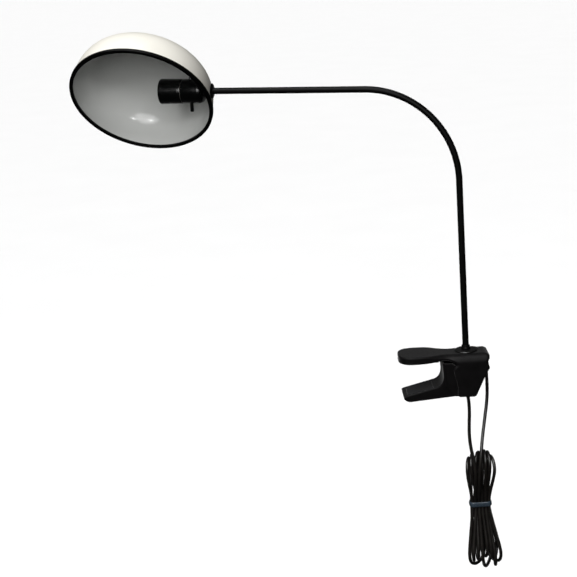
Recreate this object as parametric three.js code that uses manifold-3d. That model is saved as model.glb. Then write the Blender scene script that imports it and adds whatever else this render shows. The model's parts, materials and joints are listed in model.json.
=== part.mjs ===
// Clip-on reading lamp: spring clamp, bent swivel arm, dome shade with a screw lampholder, mains cord.
// Millimetres, +Z up. The origin is the middle of the gripping face under the upper jaw; the jaws open
// towards -X and the clamp's hidden side faces +Y.
import * as THREE from 'three';
import { mergeVertices } from 'three/addons/utils/BufferGeometryUtils.js';
import Module from 'manifold-3d';

const wasm = await Module();
wasm.setup();

// ---- driving dimensions ----

const gap = 0.3;                    // between pieces that touch

// clamp body
const plateTop = 10;
const tipTop = 12.2;                // the plate rises a little towards its tip
const plateUnder = 0.6;
const tipX = -36;                   // end of the upper jaw
const endX = 110.5;                 // rear end of the body
const tipHalf = 30;                 // half widths in plan
const waistHalf = 26.2;
const bodyHalf = 28;
const cheekWall = 2.8;
const padDepth = 1.2;               // recess that takes a jaw lining

// lower jaw
const pinX = 60;
const pinZ = -28;
const pinRadius = 2.5;
const jawHalf = 24.3;
const webWall = 2.8;
const jawFaceStart = [-28, -52];    // gripping face, tip end and throat end
const jawFaceEnd = [22, -40.2];

// arm
const footX = 72;
const tubeRadius = 5;
const tubeBore = 3.8;
const uprightLength = 271.7;        // from the clamp's top to the bend
const bendRadius = 144;
const bendAngle = THREE.MathUtils.degToRad(88.3);
const reachLength = 243.6;          // from the bend to the shade's wall
const armTurn = THREE.MathUtils.degToRad(-14.5);
const tubeFoot = -8;                // lower end of the tube, under the plate
const tubeTip = 17;                 // how far the tube runs on inside the shade

// shade
const shellRadius = 113.2;
const shellHeight = 80;
const shellPower = 2.9;             // exponent of the dome's superellipse
const shellWall = 1;
const rimDrop = 20.9;               // from the arm's axis to the rim
const wallToCentre = 112.7;
const shadeTilt = THREE.MathUtils.degToRad(48.85);
const trimRadius = 115.65;
const trimInner = 109.6;
const trimHeight = 5;

// lampholder, measured along the arm from the shade's wall
const capStart = 10.1;
const capEnd = 46.6;
const capRadius = 19;
const skirtStart = 47.4;
const skirtEnd = 83;
const skirtRadius = 20;
const holderWall = 2.1;
const switchPlace = 33.7;
const switchRadius = 2.9;

// cord
const cordRadius = 2.7;
const cordExitZ = -46;              // lower end of the cord guard in the clamp
const plugX = 60.5;
const plugY = 36;
const loopRadius = 23.6;            // cord's arc over the hook
const loopZ = -20.6;

// ---- materials ----

function finish(color, roughness, metalness = 0) {
  return new THREE.MeshStandardMaterial({ color, roughness, metalness });
}
const blackPlastic = finish(0x151516, 0.55);
const blackPaint = finish(0x101011, 0.35);
const blackBakelite = finish(0x0c0c0d, 0.18);
const creamPaint = finish(0xf1ebdd, 0.4);
const blackRubber = finish(0x1a1a1c, 0.7);
const blackCord = finish(0x121212, 0.35);
const blueBand = finish(0x3f86b8, 0.5);
const steel = finish(0x9a9a9c, 0.3, 1);
const brass = finish(0xb08d4a, 0.3, 1);
const ceramic = finish(0xe8e4da, 0.5);

// ---- geometry helpers ----

function signedVolume(position, index) {
  const a = new THREE.Vector3();
  const b = new THREE.Vector3();
  const c = new THREE.Vector3();
  let volume = 0;
  for (let i = 0; i < index.length; i += 3) {
    a.fromBufferAttribute(position, index[i]);
    b.fromBufferAttribute(position, index[i + 1]);
    c.fromBufferAttribute(position, index[i + 2]);
    volume += a.dot(b.cross(c)) / 6;
  }
  return volume;
}

// Merges a geometry's shared corners, drops its empty faces and turns it outward.
function closed(source) {
  source.deleteAttribute('normal');
  source.deleteAttribute('uv');
  const merged = mergeVertices(source, 1e-4);
  const old = merged.getIndex().array;
  let index = [];
  for (let i = 0; i < old.length; i += 3) {
    const face = [old[i], old[i + 1], old[i + 2]];
    if (new Set(face).size === 3) index.push(...face);
  }
  if (signedVolume(merged.attributes.position, index) < 0) index = index.reverse();
  merged.setIndex(index);
  return merged;
}

function solid(geometry) {
  const shape = closed(geometry);
  return new wasm.Manifold(new wasm.Mesh({
    numProp: 3,
    vertProperties: new Float32Array(shape.attributes.position.array),
    triVerts: new Uint32Array(shape.getIndex().array),
  }));
}

function geometryOf(manifold) {
  const result = manifold.getMesh();
  const geometry = new THREE.BufferGeometry();
  geometry.setAttribute('position', new THREE.BufferAttribute(new Float32Array(result.vertProperties), 3));
  geometry.setIndex(new THREE.BufferAttribute(new Uint32Array(result.triVerts), 1));
  return geometry;
}

function outline(points) {
  return new THREE.Shape(points.map(([x, y]) => new THREE.Vector2(x, y)));
}

// An outline with every corner rounded to a radius of its own: [x, y, radius].
function roundedOutline(corners) {
  const points = [];
  corners.forEach(([x, y, radius], i) => {
    const here = new THREE.Vector2(x, y);
    if (!radius) {
      points.push(here);
      return;
    }
    const before = corners[(i + corners.length - 1) % corners.length];
    const after = corners[(i + 1) % corners.length];
    const back = new THREE.Vector2(before[0] - x, before[1] - y).normalize();
    const ahead = new THREE.Vector2(after[0] - x, after[1] - y).normalize();
    const half = Math.acos(THREE.MathUtils.clamp(back.dot(ahead), -1, 1)) / 2;
    const reach = radius / Math.tan(half);
    const start = here.clone().addScaledVector(back, reach);
    const end = here.clone().addScaledVector(ahead, reach);
    const arc = new THREE.QuadraticBezierCurve(start, here, end);
    points.push(...arc.getPoints(4));
  });
  return new THREE.Shape(points);
}

// An outline drawn in X and Z, as thick as from y0 to y1.
function slabXZ(shape, y0, y1) {
  const geometry = new THREE.ExtrudeGeometry(shape, { depth: y1 - y0, bevelEnabled: false, curveSegments: 7 });
  geometry.rotateX(Math.PI / 2);
  geometry.translate(0, y1, 0);
  return geometry;
}

// An outline drawn in X and Y, as thick as from z0 to z1.
function slabXY(shape, z0, z1) {
  const geometry = new THREE.ExtrudeGeometry(shape, { depth: z1 - z0, bevelEnabled: false, curveSegments: 7 });
  geometry.translate(0, 0, z0);
  return geometry;
}

// A slab in X and Y whose upper and lower edges are chamfered.
function softSlabXY(shape, z0, z1, edge) {
  const geometry = new THREE.ExtrudeGeometry(shape, {
    depth: z1 - z0 - 2 * edge,
    bevelEnabled: true,
    bevelThickness: edge,
    bevelSize: edge,
    bevelOffset: -edge,
    bevelSegments: 2,
    curveSegments: 7,
  });
  geometry.translate(0, 0, z0 + edge);
  return geometry;
}

// A turned piece about Z from a profile of [radius, height].
function turned(profile, sides = 32) {
  const points = profile.map(([r, z]) => new THREE.Vector2(r, z));
  const geometry = new THREE.LatheGeometry(points, sides);
  geometry.rotateX(Math.PI / 2);
  return geometry;
}

function ring(inner, outer, z0, z1, sides = 32) {
  return turned([[inner, z0], [outer, z0], [outer, z1], [inner, z1], [inner, z0]], sides);
}

function rod(radius, z0, z1, sides = 24) {
  return turned([[0, z0], [radius, z0], [radius, z1], [0, z1]], sides);
}

// A turned piece laid along +X, which is the way the lampholder is built up.
function along(geometry) {
  geometry.rotateY(Math.PI / 2);
  return geometry;
}

function circle(radius, sides) {
  const points = [];
  for (let i = 0; i < sides; i += 1) {
    const angle = (2 * Math.PI * i) / sides;
    points.push(new THREE.Vector2(radius * Math.cos(angle), radius * Math.sin(angle)));
  }
  return points;
}

function tube(curve, radius, steps, sides, bore = 0, boreSides = 10) {
  const section = new THREE.Shape(circle(radius, sides));
  if (bore > 0) section.holes.push(new THREE.Path(circle(bore, boreSides).reverse()));
  return new THREE.ExtrudeGeometry(section, { steps, extrudePath: curve });
}

function smoothTube(points, radius, steps, sides) {
  const curve = new THREE.CatmullRomCurve3(points.map((p) => new THREE.Vector3(...p)));
  return tube(curve, radius, steps, sides);
}

function add(parent, name, geometry, material) {
  const mesh = new THREE.Mesh(closed(geometry), material);
  mesh.name = name;
  parent.add(mesh);
}

// ---- groups that follow the joints ----

const lamp = new THREE.Group();

const arm = new THREE.Group();
arm.position.set(footX, 0, plateTop);
arm.rotation.z = armTurn;
lamp.add(arm);

// The end of the arm at the shade's wall: +X runs on along the arm, +Z is up.
const armEnd = new THREE.Group();
armEnd.position.set(
  -bendRadius * (1 - Math.cos(bendAngle)) - reachLength * Math.sin(bendAngle),
  0,
  uprightLength + bendRadius * Math.sin(bendAngle) + reachLength * Math.cos(bendAngle),
);
armEnd.quaternion.setFromRotationMatrix(new THREE.Matrix4().makeBasis(
  new THREE.Vector3(-Math.sin(bendAngle), 0, Math.cos(bendAngle)),
  new THREE.Vector3(0, -1, 0),
  new THREE.Vector3(Math.cos(bendAngle), 0, Math.sin(bendAngle)),
));
arm.add(armEnd);

const shade = new THREE.Group();
shade.position.x = wallToCentre;
shade.rotation.x = shadeTilt;
armEnd.add(shade);

// ---- clamp ----

// Plan of the upper jaw and body: full round tip, slim waist, wider body with round corners.
function platePlan() {
  const centre = tipX + 28;
  const corner = 10;
  const points = [];
  for (let i = 0; i <= 24; i += 1) {
    const turn = Math.PI * (0.5 + i / 24);
    const x = centre - 28 * Math.abs(Math.cos(turn)) ** 0.76;
    points.push([x, tipHalf * Math.sign(Math.sin(turn)) * Math.abs(Math.sin(turn)) ** 0.76]);
  }
  const shape = outline(points);
  shape.bezierCurveTo(centre + 16, -tipHalf, 22, -waistHalf, 34, -waistHalf);
  shape.bezierCurveTo(44, -waistHalf, 48, -bodyHalf, 60, -bodyHalf);
  shape.lineTo(endX - corner, -bodyHalf);
  shape.quadraticCurveTo(endX, -bodyHalf, endX, -bodyHalf + corner);
  shape.lineTo(endX, bodyHalf - corner);
  shape.quadraticCurveTo(endX, bodyHalf, endX - corner, bodyHalf);
  shape.lineTo(60, bodyHalf);
  shape.bezierCurveTo(48, bodyHalf, 44, waistHalf, 34, waistHalf);
  shape.bezierCurveTo(22, waistHalf, centre + 16, tipHalf, centre, tipHalf);
  return shape;
}

// Side of the plate: level over the body, a little thicker towards the tip.
function plateSide() {
  return outline([
    [tipX - 1, plateUnder - 1], [endX + 1, plateUnder - 1], [endX + 1, plateTop], [44, plateTop], [26, 10.9],
    [8, 11.9], [tipX - 1, tipTop],
  ]);
}

function padPlan(inset) {
  const shape = new THREE.Shape();
  const half = 24 - inset;
  const centre = tipX + 28;
  shape.absarc(centre, 0, half, Math.PI / 2, 1.5 * Math.PI, false);
  shape.lineTo(27 - inset, -half + 2);
  shape.lineTo(27 - inset, half - 2);
  return shape;
}

// Side of a cheek, X and Z: hollow front edge, bottom, then the slope up to the rear end.
function cheekSide() {
  const shape = new THREE.Shape();
  shape.moveTo(38, plateUnder + 2);
  shape.lineTo(38, plateUnder);
  shape.bezierCurveTo(45, plateUnder - 1, 48.5, -8, 49.5, -16);
  shape.bezierCurveTo(50.5, -24, 53.5, -32, 54.5, -42);
  shape.lineTo(54.2, -52);
  shape.quadraticCurveTo(54.2, -57.3, 59, -57.6);
  shape.lineTo(77, -58.4);
  shape.quadraticCurveTo(82.6, -58.4, 85, -53);
  shape.lineTo(99.2, -23.2);
  shape.lineTo(109, -8.6);
  shape.quadraticCurveTo(endX, -6.4, endX, -4);
  shape.lineTo(endX - 6, plateUnder + 2);
  return shape;
}

// Hook on the hidden cheek that the cord's end hangs over.
function cordHook() {
  const sweep = (inner, outer, y0, y1) => {
    const shape = new THREE.Shape();
    const from = THREE.MathUtils.degToRad(58);
    const to = THREE.MathUtils.degToRad(118);
    const x = plugX + loopRadius;
    shape.absarc(x, loopZ, outer, from, to, false);
    shape.absarc(x, loopZ, inner, to, from, true);
    return solid(slabXZ(shape, y0, y1));
  };
  const bed = loopRadius - cordRadius - 2 * gap;
  return sweep(bed - 2.6, bed, bodyHalf - 1, plugY + 5).add(
    sweep(bed - 2.6, bed + 3, plugY + cordRadius + gap, plugY + 5),
  );
}

function clampBody() {
  let body = solid(softSlabXY(platePlan(), plateUnder, tipTop, 1.2));
  body = body.intersect(solid(slabXZ(plateSide(), -tipHalf - 1, tipHalf + 1)));
  [-1, 1].forEach((side) => {
    const y0 = side < 0 ? -bodyHalf : bodyHalf - cheekWall;
    body = body.add(solid(slabXZ(cheekSide(), y0, y0 + cheekWall)));
    const socket = rod(pinRadius + 0.15, -1.8, 0);
    socket.rotateX((side * Math.PI) / 2);
    socket.translate(pinX, side * (bodyHalf - cheekWall), pinZ);
    body = body.subtract(solid(socket));
  });
  body = body.add(cordHook());
  const foot = rod(tubeRadius + 0.35, -20, 20);
  foot.translate(footX, 0, 0);
  body = body.subtract(solid(foot));
  body = body.subtract(solid(slabXY(padPlan(0), plateUnder - 1, plateUnder + padDepth)));
  return geometryOf(body);
}

// The lower jaw's side: gripping beam, throat wall, floor and tail as one bent wall.
function jawSection() {
  const shape = new THREE.Shape();
  shape.moveTo(-30.5, -55.5);
  shape.quadraticCurveTo(-31, -52.6, jawFaceStart[0], jawFaceStart[1]);
  shape.lineTo(jawFaceEnd[0], jawFaceEnd[1]);
  shape.bezierCurveTo(30, -38, 33.4, -30, 33.2, -21);
  shape.lineTo(31.8, -1.6);
  shape.lineTo(34.6, -1.6);
  shape.lineTo(36.2, -20);
  shape.bezierCurveTo(36.4, -30, 35, -38, 43, -46);
  shape.quadraticCurveTo(48, -53.4, 54, -53.6);
  shape.lineTo(76, -54.6);
  shape.quadraticCurveTo(79.5, -54.6, 81, -51.6);
  shape.lineTo(92.4, -24.6);
  shape.lineTo(95.2, -25.8);
  shape.lineTo(83.2, -53.6);
  shape.quadraticCurveTo(81.4, -57.4, 77, -57.4);
  shape.lineTo(50, -56.6);
  shape.lineTo(-19, -61.4);
  shape.quadraticCurveTo(-26.5, -62, -30.5, -55.5);
  return shape;
}

function jawWeb() {
  return roundedOutline([
    [33.6, -2.2, 0], [48, -3, 8], [64, -18.5, 10], [93.6, -25.4, 0], [83, -52, 0], [78, -56.6, 0], [52, -56, 0],
    [36, -40, 0],
  ]);
}

// Pockets moulded into the underside of the gripping beam, with ribs between them.
function jawPockets() {
  let pockets = null;
  [[-22, -8], [-5.6, 8.4], [10.8, 24.8]].forEach(([x0, x1]) => {
    const top = (x) => jawFaceStart[1] + (x - jawFaceStart[0]) * 0.236 - 4.4;
    const shape = outline([[x0, -70], [x1, -70], [x1, top(x1)], [x0, top(x0)]]);
    const pocket = solid(slabXZ(shape, -jawHalf + webWall, jawHalf - webWall));
    pockets = pockets ? pockets.add(pocket) : pocket;
  });
  return pockets;
}

// The gripping face's own plane: along the face, across, and out of it.
const faceSlope = Math.atan2(jawFaceEnd[1] - jawFaceStart[1], jawFaceEnd[0] - jawFaceStart[0]);
function onJawFace(shape, low, high) {
  const geometry = slabXY(shape, low, high);
  geometry.rotateY(-faceSlope);
  geometry.translate(jawFaceStart[0], 0, jawFaceStart[1]);
  return geometry;
}

function lowerPadPlan(inset) {
  const half = jawHalf - 4 - inset;
  const x0 = 4 + inset;
  const x1 = 46 - inset;
  return roundedOutline([[x0, -half, 5], [x1, -half, 2], [x1, half, 2], [x0, half, 5]]);
}

function lowerJaw() {
  let jaw = solid(slabXZ(jawSection(), -jawHalf, jawHalf));
  [-jawHalf, jawHalf - webWall].forEach((y0) => {
    jaw = jaw.add(solid(slabXZ(jawWeb(), y0, y0 + webWall)));
  });
  const axle = rod(pinRadius + 0.15, -40, 40);
  axle.rotateX(Math.PI / 2);
  axle.translate(pinX, 0, pinZ);
  const slot = roundedOutline([[61, -4.4, 4], [76.4, -4.4, 4], [76.4, 4.4, 4], [61, 4.4, 4]]);
  jaw = jaw.subtract(solid(axle));
  jaw = jaw.subtract(solid(slabXY(slot, -62, -50)));
  jaw = jaw.subtract(jawPockets());
  jaw = jaw.subtract(solid(onJawFace(lowerPadPlan(0), -padDepth, 4)));
  return geometryOf(jaw);
}

// Torsion spring on the pin: one leg under the plate, one on the jaw's tail.
class SpringCurve extends THREE.Curve {
  getPoint(t, target = new THREE.Vector3()) {
    const coil = 4.8;
    const turns = 4 + 98 / 360;
    const start = THREE.MathUtils.degToRad(52);
    const legShare = 0.12;
    const yStart = -20;
    const yEnd = -9;
    const sweep = turns * 2 * Math.PI;
    const u = THREE.MathUtils.clamp((t - legShare) / (1 - 2 * legShare), 0, 1);
    const angle = start + Math.PI / 2 + sweep * u;
    target.set(pinX + coil * Math.cos(angle), yStart + (yEnd - yStart) * u, pinZ + coil * Math.sin(angle));
    const overrun = t < legShare ? (legShare - t) / legShare : Math.max(0, (t - 1 + legShare) / legShare);
    const way = t < legShare ? -1 : 1;
    const length = t < legShare ? 31 : 28;
    target.x += way * -Math.sin(angle) * overrun * length;
    target.z += way * Math.cos(angle) * overrun * length;
    return target;
  }
}

add(lamp, 'clamp_body', clampBody(), blackPlastic);
add(lamp, 'upper_pad', slabXY(padPlan(gap), 0, plateUnder + padDepth - gap), blackRubber);
add(lamp, 'lower_jaw', lowerJaw(), blackPlastic);
add(lamp, 'lower_pad', onJawFace(lowerPadPlan(gap), -padDepth + gap, 0.5), blackRubber);

const pin = rod(pinRadius, -bodyHalf + cheekWall - 1.5, bodyHalf - cheekWall + 1.5);
pin.rotateX(Math.PI / 2);
pin.translate(pinX, 0, pinZ);
add(lamp, 'jaw_pin', pin, steel);
add(lamp, 'jaw_spring', tube(new SpringCurve(), 0.9, 72, 5), steel);

// ---- arm ----

// Centre line of the arm by arc length: upright, bend, reach, in the arm's own plane.
class ArmCurve extends THREE.Curve {
  constructor(below, beyond) {
    super();
    this.below = below;
    this.upright = uprightLength + below;
    this.bend = bendRadius * bendAngle;
    this.reach = reachLength + beyond;
  }

  getPoint(t, target = new THREE.Vector3()) {
    const s = t * (this.upright + this.bend + this.reach);
    const turn = THREE.MathUtils.clamp((s - this.upright) / bendRadius, 0, bendAngle);
    const rise = Math.min(s, this.upright) - this.below;
    const run = Math.max(0, s - this.upright - this.bend);
    return target.set(
      -bendRadius * (1 - Math.cos(turn)) - run * Math.sin(turn),
      0,
      rise + bendRadius * Math.sin(turn) + run * Math.cos(turn),
    );
  }
}

function hexNut(width, height, bore) {
  const shape = new THREE.Shape();
  for (let i = 0; i < 6; i += 1) {
    const angle = (Math.PI / 3) * i + Math.PI / 6;
    const radius = width / 2 / Math.cos(Math.PI / 6);
    const point = [radius * Math.cos(angle), radius * Math.sin(angle)];
    if (i === 0) shape.moveTo(...point);
    else shape.lineTo(...point);
  }
  shape.holes.push(new THREE.Path(circle(bore, 24).reverse()));
  return slabXY(shape, 0, height);
}

const threadClear = tubeRadius + 0.3;
add(arm, 'arm_tube', tube(new ArmCurve(plateTop - tubeFoot, tubeTip), tubeRadius, 32, 12, tubeBore, 8), blackPaint);
add(arm, 'foot_collar', turned([
  [threadClear, 3.6], [7.4, 3.6], [7.4, 5], [6.6, 7], [6.4, 9.6], [threadClear, 9.6], [threadClear, 3.6],
], 20), blackPaint);

const foot = new THREE.Group();
foot.position.set(footX, 0, plateTop);
lamp.add(foot);
add(foot, 'foot_flange', turned([
  [threadClear, gap], [17.4, gap], [17.8, 1.2], [17.2, 2.4], [14.6, 3.1], [9, 3.3], [threadClear, 3.3], [threadClear, gap],
], 32), blackPaint);

const underPlate = plateUnder - plateTop;
add(arm, 'swivel_washer', ring(threadClear, 9.4, underPlate - gap - 1, underPlate - gap, 20), steel);
const swivelNut = hexNut(15, 5, threadClear);
swivelNut.translate(0, 0, underPlate - gap * 2 - 6);
add(arm, 'swivel_nut', swivelNut, steel);

// Cord guard: a tapered sleeve under the tube's end.
const guardTop = tubeFoot - gap - plateTop;
const guardFoot = cordExitZ - plateTop;
add(arm, 'cord_guard', turned([
  [cordRadius + gap, guardTop], [6.2, guardTop], [6.2, guardTop - 2], [5.2, guardTop - 3], [3.9, guardFoot],
  [cordRadius + gap, guardFoot], [cordRadius + gap, guardTop],
], 20), blackRubber);

const cableFoot = plateTop - cordExitZ;
add(arm, 'inner_cable', tube(new ArmCurve(cableFoot, tubeTip + 1.5), cordRadius, 34, 6), blackCord);

// ---- lampholder, along the arm's end ----

const lockNut = along(hexNut(14, 4.2, threadClear));
lockNut.translate(5.4, 0, 0);
add(armEnd, 'shade_nut', lockNut, steel);

function holderCap() {
  const inner = capRadius - holderWall;
  const cap = solid(along(turned([
    [threadClear, capStart], [8, capStart], [14, capStart + 1.4], [18, capStart + 4.4], [capRadius, capStart + 8],
    [capRadius, capEnd], [inner, capEnd], [inner, capStart + 9.5], [15, capStart + 6.6], [9, capStart + 6.2],
    [9, capStart + 9.4], [threadClear, capStart + 9.4], [threadClear, capStart],
  ], 28)));
  const barHole = rod(switchRadius + gap, -30, 30);
  barHole.translate(switchPlace, 0, 0);
  const screwHole = rod(1.9, 4, 30, 16);
  screwHole.rotateX(Math.PI / 2);
  screwHole.translate(capStart + 7.8, 0, 0);
  return geometryOf(cap.subtract(solid(barHole)).subtract(solid(screwHole)));
}

function holderSkirt() {
  const inner = skirtRadius - holderWall;
  return along(turned([
    [inner, skirtStart + 3], [15.6, skirtStart + 3], [15.6, skirtStart + 1], [inner - 0.6, skirtStart],
    [19.2, skirtStart], [19.4, skirtStart + 1], [skirtRadius, skirtEnd - 2], [skirtRadius - 0.6, skirtEnd],
    [inner + 0.4, skirtEnd], [inner, skirtEnd - 1.2], [inner, skirtStart + 3],
  ], 28));
}

// Screw shell: a thin brass sleeve with a turned-in foot and a flared mouth.
function screwShell() {
  const start = skirtStart + 10;
  const end = skirtEnd - 3;
  return along(turned([
    [12.6, start], [14.4, start], [14.4, end - 1.4], [15, end], [14.4, end], [13.8, end - 1.4], [13.8, start + 0.6],
    [12.6, start + 0.6], [12.6, start],
  ], 28));
}

function strip(points, width) {
  const shape = outline(points);
  return slabXZ(shape, -width / 2, width / 2);
}

add(armEnd, 'holder_cap', holderCap(), blackBakelite);
add(armEnd, 'holder_skirt', holderSkirt(), blackBakelite);
const coreFront = skirtStart + 9.2;
add(armEnd, 'holder_core', along(turned([
  [0, 41.4], [14, 41.4], [16.4, 43], [16.4, capEnd - 0.6], [15.2, capEnd - 0.6], [15.2, skirtStart + 3.4],
  [17.2, skirtStart + 3.4], [17.2, coreFront], [0, coreFront],
], 24)), ceramic);
add(armEnd, 'screw_shell', screwShell(), brass);
const contactFoot = coreFront + gap;
add(armEnd, 'centre_contact', strip([
  [contactFoot, -6], [contactFoot + 0.6, -6], [contactFoot + 0.6, -1], [contactFoot + 4.6, 3.4],
  [contactFoot + 4.2, 5.4], [contactFoot + 3.6, 5.4], [contactFoot + 3.8, 3.6], [contactFoot, -0.6],
], 5), brass);
const sideContact = strip([
  [contactFoot, 8.5], [contactFoot + 0.6, 8.5], [contactFoot + 0.6, 11.9], [contactFoot + 7, 11.9],
  [contactFoot + 7, 12.4], [contactFoot, 12.4],
], 4);
add(armEnd, 'side_contact', sideContact, brass);

[['a', -1], ['b', 1]].forEach(([letter, side]) => {
  const screw = along(turned([[0, 37.6], [2.4, 37.6], [2.6, 39.4], [2.6, 41.1], [0, 41.1]], 12));
  screw.translate(0, side * 9, 0);
  add(armEnd, `terminal_screw_${letter}`, screw, brass);
  add(armEnd, `lead_${letter}`, smoothTube([
    [tubeTip + 2, side * 1.4, 0], [tubeTip + 6, side * 4, 0], [switchPlace - 3, side * 8.6, 0], [37.2, side * 9, 0],
  ], 0.9, 8, 6), side < 0 ? finish(0x6b3a22, 0.5) : finish(0x2c5fa8, 0.5));
});

const grub = rod(1.6, 5.4, 13, 12);
grub.rotateX(Math.PI / 2);
grub.translate(capStart + 7.8, 0, 0);
add(armEnd, 'neck_screw', grub, steel);

// Push-through switch bar: the long end stands out below, the short end above.
const switchLow = -32.3;
const switchHigh = 22;
const bar = turned([
  [0, switchLow], [switchRadius - 0.8, switchLow], [switchRadius, switchLow + 1], [switchRadius, -9],
  [4.6, -8], [4.6, 0], [switchRadius, 1], [switchRadius, switchHigh - 1], [switchRadius - 0.8, switchHigh],
  [0, switchHigh],
], 16);
bar.translate(switchPlace, 0, 0);
add(armEnd, 'switch_bar', bar, blackBakelite);

// ---- shade ----

// Radius of the dome at a height over the rim, for an outer radius and height.
function domeRadius(height, radius, top) {
  return radius * Math.pow(1 - Math.pow(height / top, shellPower), 1 / shellPower);
}

function domeProfile(radius, top, low) {
  const points = [];
  const steps = 9;
  for (let i = 0; i < steps; i += 1) {
    const height = low + (top - low) * Math.sin((Math.PI / 2) * (i / steps));
    points.push([domeRadius(height, radius, top), height - rimDrop]);
  }
  points.push([0, top - rimDrop]);
  return points;
}

function shadeShell() {
  const low = 2.2;
  const outer = domeProfile(shellRadius, shellHeight, low);
  const inner = domeProfile(shellRadius - shellWall, shellHeight - shellWall, low).reverse();
  const shell = solid(turned([...outer, ...inner.slice(1), outer[0]], 48));
  const hole = along(rod(tubeRadius + 0.5, -140, -90));
  return geometryOf(shell.subtract(solid(hole)));
}

add(shade, 'shade_shell', shadeShell(), creamPaint);
add(shade, 'rim_trim', turned([
  [trimInner, 0.8], [trimInner + 1, 0], [trimRadius - 1, 0], [trimRadius, 1], [trimRadius, trimHeight],
  [shellRadius + gap, trimHeight], [shellRadius + gap, 1.8], [shellRadius - shellWall - gap, 1.8],
  [shellRadius - shellWall - gap - 0.2, 4], [trimInner + 0.6, 4], [trimInner, 0.8],
].map(([r, z]) => [r, z - rimDrop]), 48), blackRubber);

const washers = new THREE.Group();
washers.position.x = -wallToCentre;
shade.add(washers);
add(washers, 'outer_washer', along(turned([
  [threadClear + 0.1, -2.8], [7, -2.8], [10.4, -2.2], [11.8, -1.4], [11.8, -0.8], [threadClear + 0.1, -0.8],
  [threadClear + 0.1, -2.8],
], 24)), blackPaint);
add(washers, 'inner_washer', along(ring(threadClear + 0.1, 10, 3.6, 5, 20)), steel);

// ---- cord: left run, hank with its tie, right run over the hook, plug ----

const leftRun = [
  [72, 0, -46.3], [72, 0, -54], [72.7, 0, -66], [73.8, 0, -80], [73.8, 0, -95], [73, 0, -110], [72.4, 0, -129.7],
  [73, -1, -144.7], [74.4, -1.8, -156.4], [76.5, -3, -168.1], [78.4, -3.8, -179], [79.4, -4, -194],
];
add(lamp, 'cord_run_left', smoothTube(leftRun, cordRadius, 14, 8), blackCord);

const rightRun = [
  [86.2, -3.3, -194], [87.5, -3.5, -184.1], [89.3, -2, -171.1], [91, 1.5, -158.9],
  [93.7, 8, -144.4], [97.1, 16, -130.5], [102.4, 26, -107.2], [105.6, 31, -92.1], [107.8, 34.5, -74.8],
  [108.3, 36, -60], [108, 36, -44], [107.7, 36, -32],
];
function overHook(fromDegrees, toDegrees, count) {
  const points = [];
  for (let i = 0; i < count; i += 1) {
    const angle = THREE.MathUtils.degToRad(fromDegrees + ((toDegrees - fromDegrees) * i) / (count - 1));
    points.push([plugX + loopRadius + loopRadius * Math.cos(angle), plugY, loopZ + loopRadius * Math.sin(angle)]);
  }
  return points;
}
const guardAngle = 134;
add(lamp, 'cord_run_right', smoothTube([...rightRun, ...overHook(0, guardAngle, 9)], cordRadius, 34, 8), blackCord);

// The hank as one bundle: height, middle in X, half width and half depth of each section.
const hankY = 20;
const hankSections = [
  [-168.6, 94, 0, 0], [-169, 94, 11, 9], [-176, 90, 19.5, 16], [-184, 88.2, 23.2, 19], [-202, 88.2, 23, 17],
  [-218, 88.2, 22.3, 15.4], [-236, 88.5, 19, 11], [-251, 88.8, 16.8, 7.6], [-265, 88.8, 16.8, 7.6],
  [-279, 89.2, 18.2, 10], [-297, 90, 23, 14.6], [-315, 90.8, 27.1, 17.6], [-335, 91.8, 28.8, 19.5],
  [-351, 93, 25.6, 18], [-361, 93.6, 19, 13.5], [-370, 94.5, 8, 6.5], [-370.6, 94.5, 0, 0],
];
function hank() {
  const geometry = turned(hankSections.map(([z, , halfWidth]) => [halfWidth, z]), 20);
  const position = geometry.attributes.position;
  for (let i = 0; i < position.count; i += 1) {
    const z = position.getZ(i);
    const [, middle, halfWidth, halfDepth] = hankSections.find((section) => Math.abs(section[0] - z) < 0.01);
    position.setX(i, middle + position.getX(i));
    position.setY(i, hankY + (halfWidth > 0 ? position.getY(i) * (halfDepth / halfWidth) : 0));
  }
  return geometry;
}
add(lamp, 'cord_hank', hank(), blackCord);

function bandPlan(inset) {
  const x = 17.1 + inset;
  const y = 7.9 + inset;
  const corner = 5 + inset;
  return roundedOutline([[-x, -y, corner], [x, -y, corner], [x, y, corner], [-x, y, corner]]);
}
const band = solid(slabXY(bandPlan(1.4), -262.8, -253.2)).subtract(solid(slabXY(bandPlan(0), -270, -240)));
add(lamp, 'cord_tie', geometryOf(band.translate(88.8, hankY, 0)), blueBand);

// Flat two-pin plug hanging from the hook, pins down.
const plugTop = -24;
const plugFace = -58;
const plugShape = roundedOutline([
  [-17.65, plugFace, 2], [17.65, plugFace, 2], [17.65, plugFace + 12, 5], [8.5, plugTop, 3], [-8.5, plugTop, 3],
  [-17.65, plugFace + 12, 5],
]);
const plugBody = slabXZ(plugShape, -6.85, 6.85);
plugBody.translate(plugX, plugY, 0);
add(lamp, 'plug_body', plugBody, blackRubber);
[['a', -1], ['b', 1]].forEach(([letter, side]) => {
  const prong = turned([[0, -77], [1.2, -77], [2, -76], [2, plugFace - gap], [0, plugFace - gap]], 16);
  prong.translate(plugX + side * 9.5, plugY, 0);
  add(lamp, `plug_pin_${letter}`, prong, steel);
});

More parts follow.
